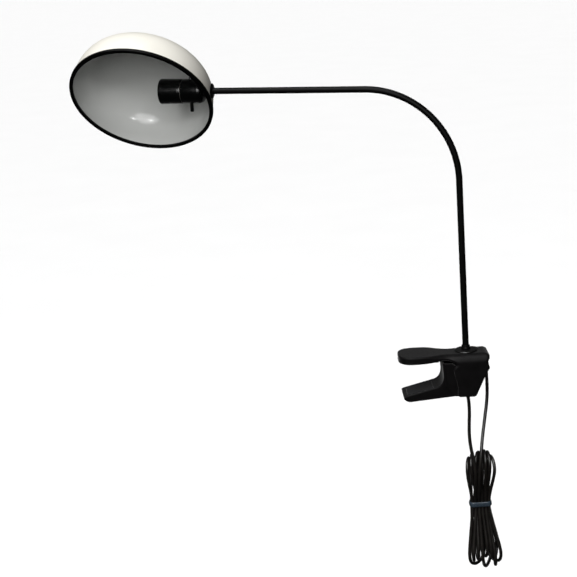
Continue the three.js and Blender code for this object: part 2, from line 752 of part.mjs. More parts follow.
// Guard between plug and cord: turned straight, then bent onto the cord's arc.
function plugGuard() {
  const start = plugTop + gap - loopZ;
  const end = loopRadius * THREE.MathUtils.degToRad(180 - guardAngle) - 2.5 * gap;
  const steps = 6;
  const profile = [[0, start]];
  for (let i = 0; i <= steps; i += 1) {
    const t = i / steps;
    profile.push([5.6 - 2 * t, start + (end - start) * t]);
  }
  profile.push([0, end]);
  const geometry = turned(profile, 16);
  const position = geometry.attributes.position;
  for (let i = 0; i < position.count; i += 1) {
    const x = position.getX(i);
    const z = position.getZ(i);
    if (z > 0) {
      const angle = Math.PI - z / loopRadius;
      position.setX(i, loopRadius + (loopRadius - x) * Math.cos(angle));
      position.setZ(i, (loopRadius - x) * Math.sin(angle));
    }
  }
  geometry.translate(plugX, plugY, loopZ);
  return geometry;
}
add(lamp, 'plug_guard', plugGuard(), blackRubber);

export default lamp;
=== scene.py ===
"""Clip-on reading lamp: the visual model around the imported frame. Metres, in the frame's own axes."""
import json
import math

import bmesh
import bpy
import numpy as np
from mathutils import Matrix, Vector


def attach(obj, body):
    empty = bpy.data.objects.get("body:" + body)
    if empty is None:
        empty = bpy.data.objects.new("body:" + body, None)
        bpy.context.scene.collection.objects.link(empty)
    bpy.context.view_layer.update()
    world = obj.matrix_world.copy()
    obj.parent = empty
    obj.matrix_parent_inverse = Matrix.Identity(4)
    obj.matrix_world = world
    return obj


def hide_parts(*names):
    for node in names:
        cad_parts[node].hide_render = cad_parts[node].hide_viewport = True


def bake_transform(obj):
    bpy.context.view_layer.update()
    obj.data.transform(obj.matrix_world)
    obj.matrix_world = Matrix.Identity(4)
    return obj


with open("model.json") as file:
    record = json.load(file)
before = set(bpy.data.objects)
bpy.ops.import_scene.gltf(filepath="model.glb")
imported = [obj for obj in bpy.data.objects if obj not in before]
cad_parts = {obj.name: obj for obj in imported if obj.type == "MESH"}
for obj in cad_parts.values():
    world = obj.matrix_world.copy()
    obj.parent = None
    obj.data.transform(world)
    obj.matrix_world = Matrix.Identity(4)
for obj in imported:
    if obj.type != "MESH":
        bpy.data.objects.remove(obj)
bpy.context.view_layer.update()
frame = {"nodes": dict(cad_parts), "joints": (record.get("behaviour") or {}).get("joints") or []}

joints = {joint["name"]: joint for joint in frame["joints"]}
nodes = frame["nodes"]
PIVOT = tuple(joints["jaw_hinge"]["pos_m"])
ARM_FOOT = tuple(joints["arm_swivel"]["pos_m"])


# ---- camera ----

CAMERA_PLACE = (-0.1813, -2.0912, 0.6591)
CAMERA_YAW = math.radians(-0.5)
CAMERA_PITCH = math.radians(14.2)
CAMERA_ROLL = math.radians(4.03)
CAMERA_LENS = 86.6


def make_camera():
    level = math.cos(CAMERA_PITCH)
    ahead = Vector((math.sin(CAMERA_YAW) * level, math.cos(CAMERA_YAW) * level, -math.sin(CAMERA_PITCH)))
    right = Vector((math.cos(CAMERA_YAW), -math.sin(CAMERA_YAW), 0))
    up = right.cross(ahead)
    rolled_right = right * math.cos(CAMERA_ROLL) - up * math.sin(CAMERA_ROLL)
    rolled_up = up * math.cos(CAMERA_ROLL) + right * math.sin(CAMERA_ROLL)
    data = bpy.data.cameras.new("camera")
    data.lens = CAMERA_LENS
    data.sensor_width = 36
    data.clip_end = 100
    camera = bpy.data.objects.new("camera", data)
    turn = Matrix((rolled_right, rolled_up, -ahead)).transposed().to_4x4()
    camera.matrix_world = Matrix.Translation(CAMERA_PLACE) @ turn
    bpy.context.scene.collection.objects.link(camera)
    bpy.context.scene.camera = camera


make_camera()
bpy.context.scene.view_settings.view_transform = "Standard"


# ---- materials ----

class Surface:
    """A material built node by node round one Principled shader."""

    def __init__(self, name, **inputs):
        self.material = bpy.data.materials.new(name)
        self.material.use_nodes = True
        self.tree = self.material.node_tree
        self.shader = self.tree.nodes["Principled BSDF"]
        for label, value in inputs.items():
            self.shader.inputs[label.replace("_", " ")].default_value = value
        self.place = self.add("ShaderNodeTexCoord").outputs["Object"]

    def add(self, kind, inputs=None, **settings):
        node = self.tree.nodes.new(kind)
        for key, value in settings.items():
            setattr(node, key, value)
        for socket, value in (inputs or {}).items():
            if isinstance(value, bpy.types.NodeSocket):
                self.tree.links.new(value, node.inputs[socket])
            else:
                node.inputs[socket].default_value = value
        return node

    def link(self, output, label):
        self.tree.links.new(output, self.shader.inputs[label])

    def noise(self, scale, detail=3.0, stretch=(1, 1, 1)):
        """Noise from 0 to 1 with about scale waves per metre, stretched along the axes."""
        spot = self.add("ShaderNodeMapping", {"Vector": self.place, "Scale": stretch}).outputs["Vector"]
        inputs = {"Vector": spot, "Scale": scale, "Detail": detail, "Roughness": 0.55}
        return self.add("ShaderNodeTexNoise", inputs).outputs["Fac"]

    def spread(self, value, low, high, start=0.3, end=0.7):
        """A value from start to end taken to the range low to high."""
        inputs = {"Value": value, "From Min": start, "From Max": end, "To Min": low, "To Max": high}
        return self.add("ShaderNodeMapRange", inputs).outputs["Result"]

    def blend(self, share, first, second):
        node = self.add("ShaderNodeMix", data_type="RGBA")
        for socket, value in ((0, share), (6, first), (7, second)):
            if isinstance(value, bpy.types.NodeSocket):
                self.tree.links.new(value, node.inputs[socket])
            else:
                node.inputs[socket].default_value = value
        return node.outputs[2]

    def bump(self, height, depth, under=None):
        """A bump of that depth in metres, over an earlier one."""
        inputs = {"Height": height, "Distance": depth, "Strength": 1.0}
        if under is not None:
            inputs["Normal"] = under
        return self.add("ShaderNodeBump", inputs).outputs["Normal"]


def colour(red, green, blue):
    return (red, green, blue, 1)


def moulded(name, dark, light, rough, clouds, grain, depth, **inputs):
    """Plastic, rubber or paint: clouded colour and gloss, and a fine grain of that depth."""
    surface = Surface(name, **inputs)
    cloud = surface.noise(clouds)
    surface.link(surface.blend(surface.spread(cloud, 0, 1), dark, light), "Base Color")
    surface.link(surface.spread(surface.noise(clouds * 2.3, 4), *rough), "Roughness")
    surface.link(surface.bump(surface.noise(grain, 2), depth), "Normal")
    return surface.material


def metal(name, dark, light, rough, stretch, **inputs):
    """Metal with fine drawn lines along one axis and cloudy tarnish."""
    surface = Surface(name, Metallic=1.0, **inputs)
    lines = surface.noise(900, 3, stretch)
    cloud = surface.noise(160, 4)
    surface.link(surface.blend(surface.spread(cloud, 0, 1), dark, light), "Base Color")
    surface.link(surface.spread(lines, *rough), "Roughness")
    surface.link(surface.bump(lines, 0.00001), "Normal")
    return surface.material


def shade_paint(name, dark, light, rough, **inputs):
    """Sprayed enamel: faint orange peel, a few dust nibs and very slight clouding."""
    surface = Surface(name, **inputs)
    cloud = surface.noise(14, 2)
    surface.link(surface.blend(surface.spread(cloud, 0, 1), dark, light), "Base Color")
    surface.link(surface.spread(surface.noise(60, 3), *rough), "Roughness")
    peel = surface.bump(surface.noise(420, 1), 0.000006)
    nibs = surface.spread(surface.noise(1500, 0), 0, 1, 0.74, 0.8)
    surface.link(surface.bump(nibs, 0.00001, peel), "Normal")
    return surface.material


CLAMP_PLASTIC = moulded(
    "clamp_plastic", colour(0.0016, 0.0014, 0.0015), colour(0.003, 0.0027, 0.0029),
    (0.42, 0.55), 70, 2600, 0.000008,
    Specular_IOR_Level=0.11, Sheen_Weight=0.21, Sheen_Roughness=0.33,
)
RUBBER = moulded(
    "rubber", colour(0.003, 0.003, 0.0034), colour(0.006, 0.006, 0.0068), (0.6, 0.75), 120, 1900, 0.00001,
    Specular_IOR_Level=0.2, Sheen_Weight=0.16, Sheen_Roughness=0.35,
)
TRIM = moulded(
    "trim", colour(0.0008, 0.0008, 0.0008), colour(0.0018, 0.0018, 0.0018),
    (0.34, 0.46), 60, 1500, 0.000008,
    Specular_IOR_Level=0.08,
)
ARM_PAINT = moulded(
    "arm_paint", colour(0.0018, 0.0018, 0.0018), colour(0.0032, 0.0032, 0.0031),
    (0.3, 0.38), 30, 1300, 0.000005,
    Specular_IOR_Level=0.07,
)
GLOSS_BLACK = moulded(
    "gloss_black", colour(0.001, 0.001, 0.001), colour(0.002, 0.002, 0.002), (0.3, 0.4), 90, 700, 0.000006,
    Specular_IOR_Level=0.5,
)
BAKELITE = moulded(
    "bakelite", colour(0.0006, 0.0008, 0.0008), colour(0.0016, 0.0019, 0.0019),
    (0.16, 0.24), 140, 500, 0.000006,
    Specular_IOR_Level=0.6,
)
CREAM = shade_paint("cream_paint", colour(0.72, 0.70, 0.635), colour(0.76, 0.74, 0.675), (0.3, 0.38))
INSIDE = shade_paint("inside_paint", colour(0.67, 0.68, 0.66), colour(0.695, 0.705, 0.685), (0.14, 0.17))
STEEL = metal("steel", colour(0.42, 0.42, 0.43), colour(0.56, 0.56, 0.57), (0.24, 0.4), (1, 1, 0.05))
BRASS = metal("brass", colour(0.46, 0.31, 0.11), colour(0.72, 0.53, 0.24), (0.2, 0.36), (1, 1, 1))
PORCELAIN = moulded(
    "porcelain", colour(0.72, 0.7, 0.65), colour(0.8, 0.78, 0.73), (0.25, 0.4), 200, 900, 0.00003,
)
JACKET = moulded(
    "jacket", colour(0.006, 0.0052, 0.0045), colour(0.012, 0.0104, 0.009), (0.26, 0.4), 90, 700, 0.000008,
    Specular_IOR_Level=0.6,
)
BAND = moulded(
    "band", colour(0.021, 0.032, 0.044), colour(0.040, 0.056, 0.074), (0.22, 0.3), 220, 800, 0.00003,
)
LEAD_BROWN = moulded(
    "lead_brown", colour(0.1, 0.035, 0.015), colour(0.14, 0.05, 0.022), (0.35, 0.5), 200, 900, 0.00002,
)
LEAD_BLUE = moulded(
    "lead_blue", colour(0.02, 0.08, 0.32), colour(0.03, 0.11, 0.4), (0.35, 0.5), 200, 900, 0.00002,
)


# ---- lines and outlines ----

def unit(v):
    return v / np.linalg.norm(v)


def arc(centre, radius, start, end, count):
    """Points on a flat circle, from start to end in degrees."""
    return [
        (centre[0] + radius * math.cos(a), centre[1] + radius * math.sin(a))
        for a in np.radians(np.linspace(start, end, count))
    ]


def rounded(corners, count=5):
    """An outline whose corners (x, y, radius) are arcs."""
    points = []
    for i, (x, y, radius) in enumerate(corners):
        here = np.array((x, y), float)
        if radius == 0:
            points.append(here)
            continue
        back = unit(np.array(corners[i - 1][:2]) - here)
        on = unit(np.array(corners[(i + 1) % len(corners)][:2]) - here)
        half = math.acos(np.clip(back @ on, -1, 1)) / 2
        centre = here + unit(back + on) * radius / math.sin(half)
        first = here + back * radius / math.tan(half) - centre
        last = here + on * radius / math.tan(half) - centre
        swing = math.atan2(first[0] * last[1] - first[1] * last[0], first @ last)
        for t in np.linspace(0, swing, count):
            turn = np.array(((math.cos(t), -math.sin(t)), (math.sin(t), math.cos(t))))
            points.append(centre + turn @ first)
    return np.array(points)


def bezier(a, b, c, d, count=8):
    """Points on a cubic curve, both ends included."""
    t = np.linspace(0, 1, count)[:, None]
    a, b, c, d = (np.array(p, float) for p in (a, b, c, d))
    return (1 - t) ** 3 * a + 3 * t * (1 - t) ** 2 * b + 3 * t * t * (1 - t) * c + t ** 3 * d


def smooth_line(points, spacing):
    """A Catmull-Rom line through points, cut again at that spacing."""
    p = np.array(points, float)
    p = np.vstack((2 * p[0] - p[1], p, 2 * p[-1] - p[-2]))
    knots = np.concatenate(([0], np.cumsum(np.linalg.norm(np.diff(p, axis=0), axis=1) ** 0.5)))
    fine = []
    for i in range(1, len(p) - 2):
        t = np.linspace(knots[i], knots[i + 1], 12, endpoint=False)[:, None]
        k = knots[i - 1:i + 3]
        q = p[i - 1:i + 3]
        a = [((k[j + 1] - t) * q[j] + (t - k[j]) * q[j + 1]) / (k[j + 1] - k[j]) for j in range(3)]
        b = [((k[j + 2] - t) * a[j] + (t - k[j]) * a[j + 1]) / (k[j + 2] - k[j]) for j in range(2)]
        fine.append(((k[2] - t) * b[0] + (t - k[1]) * b[1]) / (k[2] - k[1]))
    fine.append(p[-2:-1])
    return spaced(np.vstack(fine), spacing)


def spaced(line, spacing):
    """The same line with its points an even distance apart."""
    run = np.concatenate(([0], np.cumsum(np.linalg.norm(np.diff(line, axis=0), axis=1))))
    at = np.linspace(0, run[-1], max(2, round(run[-1] / spacing) + 1))
    return np.stack([np.interp(at, run, line[:, i]) for i in range(line.shape[1])], 1)


def line_frames(line):
    """Two sideways directions at each point of a line, carried along it without twist."""
    ahead = np.gradient(line, axis=0)
    ahead /= np.linalg.norm(ahead, axis=1)[:, None]
    side = unit(np.cross(ahead[0], (0.0, 0.0, 1.0) if abs(ahead[0][2]) < 0.9 else (0.0, 1.0, 0.0)))
    sides = []
    for direction in ahead:
        side = unit(side - direction * (side @ direction))
        sides.append(side)
    sides = np.array(sides)
    return sides, np.cross(ahead, sides)


# ---- meshes ----

def piece(name, vertices, faces, material, matrix=None, sharp=35):
    """A mesh object with outward normals, smooth but for edges over sharp degrees."""
    mesh = bpy.data.meshes.new(name)
    mesh.from_pydata([tuple(v) for v in vertices], [], faces)
    work = bmesh.new()
    work.from_mesh(mesh)
    bmesh.ops.recalc_face_normals(work, faces=work.faces)
    work.to_mesh(mesh)
    work.free()
    if matrix is not None:
        mesh.transform(matrix)
    mesh.shade_smooth()
    mesh.set_sharp_from_angle(angle=math.radians(sharp))
    mesh.materials.append(material)
    obj = bpy.data.objects.new(name, mesh)
    bpy.context.scene.collection.objects.link(obj)
    return obj


def stand_for(obj, body, slot, *replaced):
    """Puts a piece on its body and in place of its CAD nodes."""
    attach(obj, body)
    if replaced:
        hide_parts(*replaced)
    return obj


def turned(profile, sides=72):
    """A closed profile of (radius, height) turned about Z."""
    vertices, faces, rings = [], [], []
    for radius, height in profile:
        count = 1 if radius < 1e-7 else sides
        rings.append([len(vertices) + i % count for i in range(sides + 1)])
        for i in range(count):
            angle = 2 * math.pi * i / sides
            vertices.append((radius * math.cos(angle), radius * math.sin(angle), height))
    for low, high in zip(rings, rings[1:] + rings[:1]):
        for i in range(sides):
            corners = tuple(dict.fromkeys((low[i], low[i + 1], high[i + 1], high[i])))
            if len(corners) > 2:
                faces.append(corners)
    return np.array(vertices), faces


def swept(line, radii, sides=20, bore=0.0):
    """A round bar along a line, or a tube where bore isn't 0."""
    line = np.array(line, float)
    across, over = line_frames(line)
    radii = np.broadcast_to(radii, len(line))
    around = 2 * math.pi * np.arange(sides) / sides
    vertices, faces = [], []

    def rings(sizes):
        first = len(vertices)
        for p, a, b, size in zip(line, across, over, sizes):
            vertices.extend(p + size * (a * math.cos(t) + b * math.sin(t)) for t in around)
        for i in range(len(line) - 1):
            for j in range(sides):
                k = (j + 1) % sides
                low = first + i * sides
                faces.append((low + j, low + k, low + sides + k, low + sides + j))
        return first, first + (len(line) - 1) * sides

    outer = rings(radii)
    if bore > 0:
        inner = rings(np.full(len(line), bore))
        for a, b in zip(outer, inner):
            for j in range(sides):
                k = (j + 1) % sides
                faces.append((a + j, a + k, b + k, b + j))
    else:
        for end in outer:
            faces.append(tuple(range(end, end + sides)))
    return np.array(vertices), faces


def outline_distance(outline, u, v):
    """Distance of points to a closed outline, negative inside it."""
    shape = np.broadcast(u, v).shape
    nearest, inside = np.full(shape, 1e9), np.zeros(shape, bool)
    for (ax, ay), (bx, by) in zip(outline, np.roll(outline, -1, axis=0)):
        ex, ey = bx - ax, by - ay
        t = np.clip(((u - ax) * ex + (v - ay) * ey) / (ex * ex + ey * ey + 1e-18), 0, 1)
        nearest = np.minimum(nearest, (u - ax - t * ex) ** 2 + (v - ay - t * ey) ** 2)
        if ay != by:
            inside ^= ((ay > v) != (by > v)) & (u < ex * (v - ay) / ey + ax)
    return np.where(inside, -1, 1) * np.sqrt(nearest)


def both(a, b, radius):
    """Where two shapes overlap, with the edge between them rounded to a radius."""
    corner = np.sqrt(np.maximum(a + radius, 0) ** 2 + np.maximum(b + radius, 0) ** 2)
    return np.minimum(np.maximum(a, b), -radius) + corner


def either(a, b, radius):
    """Two shapes joined, with the corner between them filled to a radius."""
    return -both(-a, -b, radius)


def without(a, b, radius):
    """The first shape less the second."""
    return both(a, -b, radius)


def smoothstep(value, start, end):
    t = np.clip((value - start) / (end - start), 0, 1)
    return t * t * (3 - 2 * t)


def surface_net(distance, low, high, step):
    """Vertices and faces of the surface where distance(x, y, z) is 0 inside a box."""
    axes = [np.arange(a - 1.5 * step, b + 2.5 * step, step) for a, b in zip(low, high)]
    x, y, z = np.meshgrid(*axes, indexing="ij", sparse=True)
    value = np.array(np.broadcast_to(distance(x, y, z), [len(a) for a in axes]))
    value[np.abs(value) < 1e-9] = 1e-9
    size = np.array(value.shape) - 1
    offsets = np.array([(i, j, k) for i in (0, 1) for j in (0, 1) for k in (0, 1)])
    corner = np.stack([value[i:i + size[0], j:j + size[1], k:k + size[2]] for i, j, k in offsets], -1)
    cells = np.argwhere((corner.min(-1) < 0) & (corner.max(-1) > 0))
    number = np.full(size, -1)
    number[tuple(cells.T)] = np.arange(len(cells))
    at = corner[tuple(cells.T)]
    total, crossings = np.zeros((len(cells), 3)), np.zeros(len(cells))
    for a in range(8):
        for b in range(a + 1, 8):
            if np.abs(offsets[a] - offsets[b]).sum() == 1:
                crossed = (at[:, a] < 0) != (at[:, b] < 0)
                share = np.where(crossed, at[:, a] / (at[:, a] - at[:, b] + (~crossed)), 0)
                total += crossed[:, None] * (offsets[a] + share[:, None] * (offsets[b] - offsets[a]))
                crossings += crossed
    start = np.array([a[0] for a in axes])
    points = start + step * (cells + total / crossings[:, None])
    tiny = step * 0.02
    for _ in range(3):
        here = distance(*points.T)
        slope = np.stack([
            (distance(*(points + tiny * axis).T) - distance(*(points - tiny * axis).T)) / (2 * tiny)
            for axis in np.eye(3)
        ], 1)
        move = -here[:, None] * slope / np.maximum((slope ** 2).sum(1), 0.2)[:, None]
        points += np.clip(move, -step * 0.4, step * 0.4)
    faces = []
    for axis in range(3):
        one, two = (axis + 1) % 3, (axis + 2) % 3
        before = [slice(1, None)] * 3
        after = [slice(1, None)] * 3
        before[axis], after[axis] = slice(0, -1), slice(1, None)
        before[one] = after[one] = slice(1, -1)
        before[two] = after[two] = slice(1, -1)
        crossed = (value[tuple(before)] < 0) != (value[tuple(after)] < 0)
        found = np.argwhere(crossed)
        found[:, one] += 1
        found[:, two] += 1
        ring = []
        for i, j in ((0, 0), (-1, 0), (-1, -1), (0, -1)):
            cell = found.copy()
            cell[:, one] += i
            cell[:, two] += j
            ring.append(number[tuple(cell.T)])
        faces.append(np.stack(ring, 1))
    return points, [tuple(int(i) for i in f) for f in np.vstack(faces)]


# ---- cord: left run, hank, right run over the hook ----

CORD = 0.0054
TIE = np.array((0.0885, 0.020, -0.2575))
TOP = np.array((0.0882, 0.020))
FOOT = np.array((0.0918, 0.020))
PLUG = np.array((0.0605, 0.036))
LOOP = 0.0236
LOOP_Z = -0.0206
GUARD_ANGLE = 134

left_run = [
    (0.072, 0, -0.0463), (0.072, 0, -0.054), (0.0727, 0, -0.066), (0.0738, 0, -0.080), (0.0738, 0, -0.095),
    (0.0730, 0, -0.110), (0.0724, 0, -0.1297), (0.0730, -0.001, -0.1447), (0.0744, -0.0018, -0.1564),
    (0.0765, -0.0030, -0.1681), (0.0784, -0.0038, -0.179), (0.0796, -0.004, -0.1945),
    (0.0806, -0.001, -0.2122), (0.0812, 0.006, -0.2307),
]
right_run = [
    (0.0838, 0.007, -0.2329), (0.0842, 0.001, -0.2167), (0.0856, -0.003, -0.1996),
    (0.0875, -0.0035, -0.1841), (0.0893, -0.002, -0.1711), (0.0910, 0.0015, -0.1589),
    (0.0937, 0.008, -0.1444), (0.0971, 0.016, -0.1305),
    (0.1024, 0.026, -0.1072), (0.1056, 0.031, -0.0921), (0.1078, 0.0345, -0.0748), (0.1083, 0.036, -0.060),
    (0.1080, 0.036, -0.044), (0.1077, 0.036, -0.032),
]
over_hook = [(x, PLUG[1], z) for x, z in arc((PLUG[0] + LOOP, LOOP_Z), LOOP, 0, GUARD_ANGLE + 8, 10)]

# The strands under the tie in the order the cord passes them: half columns from the middle, and rows.
slots = [
    (-3, -1), (-5, 1), (-5, -1), (1, 1), (-2, 0), (-3, 1), (1, -1), (-1, 1),
    (3, -1), (5, 1), (4, 0), (3, 1), (5, -1), (2, 0), (0, 0), (-1, -1),
]
# Each fold in the same order: its two sides from the hank's middle, and the height of its tip.
foot_folds = [
    ((-0.0195, -0.0160), (-0.0165, 0.0175), -0.3580),
    ((-0.0255, -0.0120), (0.0035, 0.0165), -0.3640),
    ((-0.0110, -0.0165), (-0.0105, 0.0170), -0.3550),
    ((0.0035, -0.0170), (-0.0035, 0.0170), -0.3505),
    ((0.0105, -0.0165), (0.0235, 0.0150), -0.3560),
    ((0.0165, -0.0165), (0.0190, 0.0170), -0.3670),
    ((0.0260, -0.0130), (0.0095, 0.0175), -0.3615),
    ((0.0125, 0.0165), (-0.0040, -0.0165), -0.3690),
]
top_folds = [
    ((-0.0125, 0.0170), (-0.0210, -0.0155), -0.1800),
    ((-0.0075, 0.0170), (-0.0145, -0.0160), -0.1745),
    ((0.0045, 0.0170), (-0.0075, -0.0170), -0.1705),
    ((0.0100, 0.0170), (0.0090, -0.0165), -0.1690),
    ((0.0145, 0.0170), (0.0160, -0.0165), -0.1712),
    ((0.0170, 0.0170), (0.0235, -0.0155), -0.1785),
    ((-0.0015, 0.0170), (0.0035, -0.0170), -0.1765),
]
ROW = CORD * math.sqrt(0.75)


def fold(middle, sides, tip):
    """A half circle hanging from its two sides to its tip, or standing up to it."""
    a, b = (np.array((*(middle + side), 0.0)) for side in np.array(sides))
    radius = np.linalg.norm(a - b) / 2
    upward = 1 if tip > TIE[2] else -1
    centre = (a + b) / 2 + np.array((0, 0, tip - upward * radius))
    out = (a - b) / 2
    return [
        centre + out * math.cos(t) + np.array((0, 0, upward * radius * math.sin(t)))
        for t in np.linspace(0, math.pi, 9)
    ]


def under_tie(slot, downward):
    """A strand's way through the tie."""
    column, row = slot
    middle = TIE + np.array((column * CORD / 2, row * ROW, 0))
    ends = [middle + np.array((0, 0, dz)) for dz in (0.006, -0.006)]
    return ends if downward else ends[::-1]


def relaxed(line, held, rounds=400):
    """The line with its strands pushed a diameter apart and its bends evened out."""
    line = line.copy()
    step = np.linalg.norm(np.diff(line, axis=0), axis=1).mean()
    order = np.arange(len(line))
    strands_apart = np.abs(order[:, None] - order[None]) > 2.5 * CORD / step
    loose = ~held[:, None]
    for turn in range(rounds):
        if turn % 10 == 0:
            square = (line ** 2).sum(1)
            gap = square[:, None] + square[None] - 2 * line @ line.T
            one, two = np.nonzero(np.triu(strands_apart & (gap < (1.9 * CORD) ** 2)))
        bend = np.zeros_like(line)
        bend[2:-2] = line[:-4] - 4 * line[1:-3] + 6 * line[2:-2] - 4 * line[3:-1] + line[4:]
        line -= 0.03 * bend * loose
        for _ in range(2):
            away = line[one] - line[two]
            length = np.linalg.norm(away, axis=1)
            push = away * (np.maximum(CORD * 1.01 - length, 0) / (2 * length))[:, None]
            shift = np.zeros_like(line)
            np.add.at(shift, one, push)
            np.add.at(shift, two, -push)
            line += 0.7 * shift * loose
            reach = np.diff(line, axis=0)
            length = np.linalg.norm(reach, axis=1)
            pull = reach * ((length - step) / (2 * length))[:, None]
            shift = np.zeros_like(line)
            shift[:-1] += pull
            shift[1:] -= pull
            line += 0.5 * shift * loose
    return line


def cord_line():
    """The cord's whole centreline, from the clamp to the plug's guard."""
    points = list(left_run)
    for turn, sides in enumerate(foot_folds):
        points += under_tie(slots[2 * turn], True)
        points += fold(FOOT, sides[:2], sides[2])
        points += under_tie(slots[2 * turn + 1], False)
        if turn < len(top_folds):
            points += fold(TOP, top_folds[turn][:2], top_folds[turn][2])
    points += right_run + over_hook
    line = smooth_line(points, 0.004)
    height = line[:, 2]
    held = (np.abs(height - TIE[2]) < 0.0065) | (height > -0.125)
    line = relaxed(line, held)
    return smooth_line(line, 0.002)


def make_cord():
    line = cord_line()
    data = bpy.data.curves.new("cord", "CURVE")
    data.dimensions = "3D"
    data.bevel_depth = CORD / 2
    data.bevel_resolution = 4
    data.use_fill_caps = True
    spline = data.splines.new("POLY")
    spline.points.add(len(line) - 1)
    spline.points.foreach_set("co", np.hstack((line, np.ones((len(line), 1)))).ravel())
    data.materials.append(JACKET)
    cord = bpy.data.objects.new("cord", data)
    bpy.context.scene.collection.objects.link(cord)
    stand_for(cord, "clamp", "cord_jacket", "cord_run_left", "cord_hank", "cord_run_right")
    return cord


cord = make_cord()


# ---- the band round the hank ----

def make_tie():
    """A soft band, bulging outward, wound once round the strands."""
    inner_x, inner_y, tall, thick = 0.0166, 0.0078, 0.0082, 0.0016
    corner = 0.005
    lap = rounded([
        (inner_x, inner_y, corner), (-inner_x, inner_y, corner),
        (-inner_x, -inner_y, corner), (inner_x, -inner_y, corner),
    ], 9)
    lap = spaced(np.vstack((lap, lap[:1])), 0.0016)[:-1]
    ahead = np.roll(lap, -1, axis=0) - np.roll(lap, 1, axis=0)
    outward = np.stack((ahead[:, 1], -ahead[:, 0]), 1) / np.linalg.norm(ahead, axis=1)[:, None]
    outward *= np.sign((outward * lap).sum(1))[:, None]
    bulge = [(thick * math.cos(a) ** 0.6, tall / 2 * math.sin(a)) for a in np.linspace(-1.35, 1.35, 11)]
    section = [(0.0, -tall / 2), *bulge, (0.0, tall / 2)]
    vertices, faces = [], []
    count = len(section)
    for spot, out in zip(lap, outward):
        for d, h in section:
            vertices.append((*(TIE[:2] + spot + out * d), TIE[2] + h))
    for i in range(len(lap)):
        for j in range(count):
            a, b = i * count, (i + 1) % len(lap) * count
            faces.append((a + j, b + j, b + (j + 1) % count, a + (j + 1) % count))
    return stand_for(piece("cord_band", vertices, faces, BAND, sharp=70), "clamp", "blue_band", "cord_tie")


make_tie()


# ---- places along the arm ----

ARM = Matrix.Translation(ARM_FOOT) @ Matrix.Rotation(math.radians(-14.5), 4, "Z")
along = Vector(joints["shade_tilt"]["axis"]).normalized()
upward = Vector(joints["switch_push"]["axis"]).normalized()
arm_end_turn = Matrix((along, upward.cross(along), upward)).transposed().to_4x4()
ARM_END = Matrix.Translation(joints["shade_tilt"]["pos_m"]) @ arm_end_turn
ALONG = ARM_END @ Matrix.Rotation(math.radians(90), 4, "Y")
SHADE = ARM_END @ Matrix.Translation((0.1127, 0, 0)) @ Matrix.Rotation(math.radians(48.85), 4, "X")


def lathe(name, corners, material, matrix, sides=64, sharp=35):
    """A turned piece from the corners of its profile in millimetres: radius, height, rounding."""
    vertices, faces = turned(rounded(corners) * 0.001, sides)
    return piece(name, vertices, faces, material, matrix, sharp)


def cut(obj, *rods):
    """Drills round holes, each given by its two ends and its radius, through a piece."""
    for start, end, radius in rods:
        vertices, faces = swept([start, end], radius, 32)
        tool = piece("drill", vertices, faces, obj.data.materials[0])
        hole = obj.modifiers.new("hole", "BOOLEAN")
        hole.operation = "DIFFERENCE"
        hole.solver = "EXACT"
        hole.object = tool
        seen = obj.evaluated_get(bpy.context.evaluated_depsgraph_get())
        mesh = bpy.data.meshes.new_from_object(seen)
        obj.modifiers.clear()
        obj.data = mesh
        bpy.data.objects.remove(tool)
    obj.data.shade_smooth()
    obj.data.set_sharp_from_angle(angle=math.radians(35))


# ---- clamp body ----

PIN_BORE = 0.00265
HOOK = (PLUG[0] + LOOP, LOOP_Z)
HOOK_RING = 0.019
HOOK_LIP = 0.0205


def plan_half(tip, waist, body):
    """The plate's edge on its +Y side, from the tip's round to the body."""
    first = bezier((-0.008, tip), (0.008, tip), (0.022, waist), (0.034, waist), 10)
    return np.vstack((first, bezier((0.034, waist), (0.044, waist), (0.048, body), (0.060, body), 10)[1:]))


def plate_plan():
    side = plan_half(0.030, 0.0262, 0.028)
    turn = np.radians(np.linspace(90, 270, 41))[:-1]
    c, s = np.cos(turn), np.sin(turn)
    tip = np.stack((-0.008 - 0.028 * np.abs(c) ** 0.76, 0.030 * np.sign(s) * np.abs(s) ** 0.76), 1)
    return np.vstack((
        tip,
        side * (1, -1),
        arc((0.1005, -0.018), 0.010, -90, 0, 9),
        arc((0.1005, 0.018), 0.010, 0, 90, 9),
        side[:0:-1],
    ))


def pad_plan(half):
    return np.vstack((
        arc((-0.008, 0), half, 90, 270, 33), [(0.003 + half, 0.002 - half), (0.003 + half, half - 0.002)],
    ))


def cheek_side():
    corners = rounded([
        (-0.036, 0.0006, 0), (-0.036, 0.0122, 0), (0.012, 0.0118, 0.020), (0.048, 0.010, 0.030),
        (0.1105, 0.010, 0.005), (0.1105, -0.0065, 0.006), (0.1000, -0.0215, 0.012), (0.0850, -0.053, 0),
        (0.0826, -0.0584, 0.0055), (0.0542, -0.0576, 0.004), (0.0545, -0.042, 0),
    ])
    low = bezier((0.0545, -0.042), (0.0535, -0.032), (0.0505, -0.024), (0.0495, -0.016), 8)
    high = bezier((0.0495, -0.016), (0.0485, -0.008), (0.045, -0.0004), (0.038, 0.0006), 8)
    return np.vstack((corners, low[1:], high[1:]))


